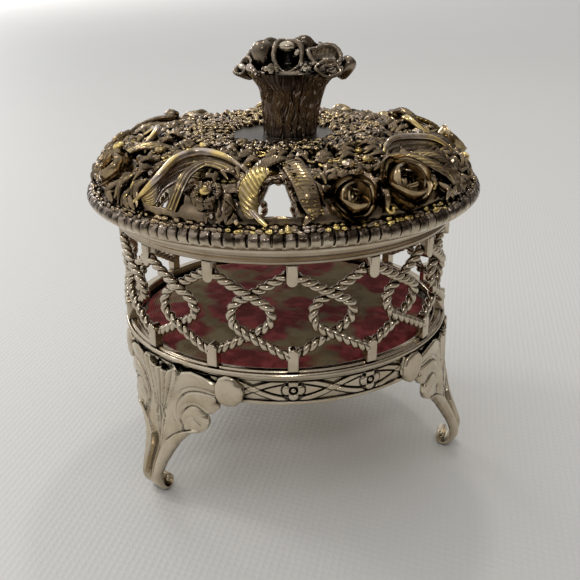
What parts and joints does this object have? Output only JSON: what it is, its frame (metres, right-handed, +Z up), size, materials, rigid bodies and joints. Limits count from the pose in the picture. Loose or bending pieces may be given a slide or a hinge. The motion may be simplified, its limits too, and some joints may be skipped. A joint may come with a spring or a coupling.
{
  "type": "footed openwork incense jar",
  "caption": "Footed round openwork incense jar: twisted-rope gallery basket with loose floor pad and a lift-off pierced floral lid with blossom knob.",
  "frame": {"origin": "on the floor, under the jar's vertical axis", "axes": "+Z up along the jar's axis, -Y towards the middle of one gallery bay between the two front feet, +Y towards the back foot"},
  "size_m": [0.1, 0.1, 0.1069],
  "materials": {
    "silver_plate": "bright silver plate, slightly warm, darkened in the recesses",
    "rim_plate": "silver plate with dark antique wash between the flutes",
    "antique_brass": "dark antiqued cast brass, highlights rubbed bright",
    "steel_fastener": "plain machined",
    "pad_board": "plain fibre board",
    "floral_fabric": "printed cotton, dusky red roses on a khaki ground"
  },
  "bodies": {
    "basket": {"base_band": "silver_plate", "rail_ring": "silver_plate", "floor_plate": "silver_plate", "top_ring": "silver_plate", "upper_posts": "silver_plate", "lower_posts": "silver_plate", "rope_strands_right": "silver_plate", "rope_strands_left": "silver_plate", "band_rosettes": "silver_plate", "foot_back": "silver_plate", "foot_left": "silver_plate", "foot_right": "silver_plate"},
    "floor_pad": {"pad_board": "pad_board", "pad_cover": "floral_fabric"},
    "lid": {"lid_rim": "rim_plate", "locating_collar": "silver_plate", "lid_openwork": "antique_brass", "lid_centre_disc": "antique_brass", "lid_crossed_leaves": "antique_brass", "lid_roses": "antique_brass", "lid_arched_leaves": "antique_brass", "lid_buds": "antique_brass", "knob_stem": "antique_brass", "knob_stud": "steel_fastener", "knob_washer": "steel_fastener", "knob_nut": "steel_fastener", "knob_blossoms": "antique_brass"}
  },
  "joints": [
    {"name": "lid_lift", "type": "slide", "parent": "basket", "child": "lid", "axis": [0, 0, 1], "range_m": [0, 0.06]},
    {"name": "pad_lift", "type": "slide", "parent": "basket", "child": "floor_pad", "axis": [0, 0, 1], "range_m": [0, 0.027]}
  ]
}
